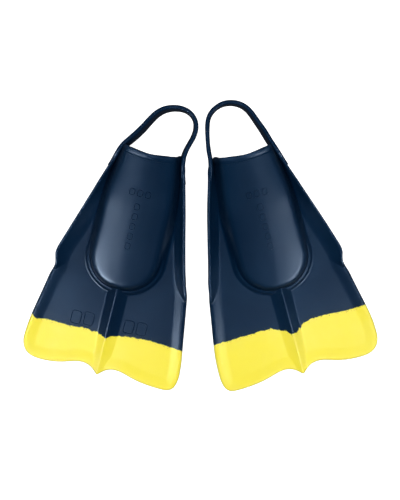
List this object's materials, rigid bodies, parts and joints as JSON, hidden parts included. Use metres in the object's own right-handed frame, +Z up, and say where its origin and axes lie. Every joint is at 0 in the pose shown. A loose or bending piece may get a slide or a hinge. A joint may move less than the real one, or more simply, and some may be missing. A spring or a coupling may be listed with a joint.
{
  "type": "swim fins",
  "caption": "Pair of short moulded rubber swim fins with closed foot pockets, integral heel straps, tall side rails and ribbed blades with a contrasting tip.",
  "frame": {"origin": "centre of the footprint of the pair, on the surface that the soles rest on", "axes": "+X across the pair from the left fin to the right fin in the rest layout, +Y from the blades towards the heel straps, +Z up"},
  "size_m": [0.4698, 0.3824, 0.0624],
  "materials": {
    "navy_rubber": "satin",
    "yellow_rubber": "satin"
  },
  "bodies": {
    "left_fin": {"left_foot_pocket_upper": "navy_rubber", "left_foot_pocket_sole": "navy_rubber", "left_side_rail_outer": "navy_rubber", "left_side_rail_inner": "navy_rubber", "left_side_web_outer": "navy_rubber", "left_side_web_inner": "navy_rubber"},
    "left_blade": {"left_blade_panel": "navy_rubber", "left_edge_bead_outer": "navy_rubber", "left_edge_bead_inner": "navy_rubber", "left_centre_rib": "navy_rubber"},
    "left_tip": {"left_blade_tip": "yellow_rubber", "left_tip_rib": "yellow_rubber"},
    "left_strap": {"left_heel_strap": "navy_rubber"},
    "right_fin": {"right_foot_pocket_upper": "navy_rubber", "right_foot_pocket_sole": "navy_rubber", "right_side_rail_outer": "navy_rubber", "right_side_rail_inner": "navy_rubber", "right_side_web_outer": "navy_rubber", "right_side_web_inner": "navy_rubber"},
    "right_blade": {"right_blade_panel": "navy_rubber", "right_edge_bead_outer": "navy_rubber", "right_edge_bead_inner": "navy_rubber", "right_centre_rib": "navy_rubber"},
    "right_tip": {"right_blade_tip": "yellow_rubber", "right_tip_rib": "yellow_rubber"},
    "right_strap": {"right_heel_strap": "navy_rubber"}
  },
  "joints": [
    {"name": "left_blade_flex", "type": "hinge", "parent": "left_fin", "child": "left_blade", "pos_m": [-0.11154, -0.06859, 0.014], "axis": [-0.9694, 0.2453, 0], "range_deg": [-20, 20], "stiffness_Nm_per_rad": 20},
    {"name": "left_tip_flex", "type": "hinge", "parent": "left_blade", "child": "left_tip", "pos_m": [-0.12332, -0.11512, 0.01165], "axis": [-0.9694, 0.2453, 0], "range_deg": [-18, 18], "stiffness_Nm_per_rad": 8},
    {"name": "left_strap_swing", "type": "hinge", "parent": "left_fin", "child": "left_strap", "pos_m": [-0.06052, 0.13306, 0.031], "axis": [0.9694, -0.2453, 0], "range_deg": [-25, 40], "stiffness_Nm_per_rad": 0.5},
    {"name": "right_blade_flex", "type": "hinge", "parent": "right_fin", "child": "right_blade", "pos_m": [0.11052, -0.06809, 0.014], "axis": [-0.9646, -0.2639, 0], "range_deg": [-20, 20], "stiffness_Nm_per_rad": 20},
    {"name": "right_tip_flex", "type": "hinge", "parent": "right_blade", "child": "right_tip", "pos_m": [0.12055, -0.10474, 0.01214], "axis": [-0.9646, -0.2639, 0], "range_deg": [-18, 18], "stiffness_Nm_per_rad": 8},
    {"name": "right_strap_swing", "type": "hinge", "parent": "right_fin", "child": "right_strap", "pos_m": [0.05563, 0.13254, 0.031], "axis": [0.9646, 0.2639, 0], "range_deg": [-25, 40], "stiffness_Nm_per_rad": 0.5},
    {"name": "fins_apart", "type": "slide", "parent": "left_fin", "child": "right_fin", "axis": [1, 0, 0], "range_m": [0, 0.25]}
  ],
  "couplings": [
    {"joint": "left_tip_flex", "follows": "left_blade_flex", "ratio": 0.9},
    {"joint": "right_tip_flex", "follows": "right_blade_flex", "ratio": 0.9}
  ]
}
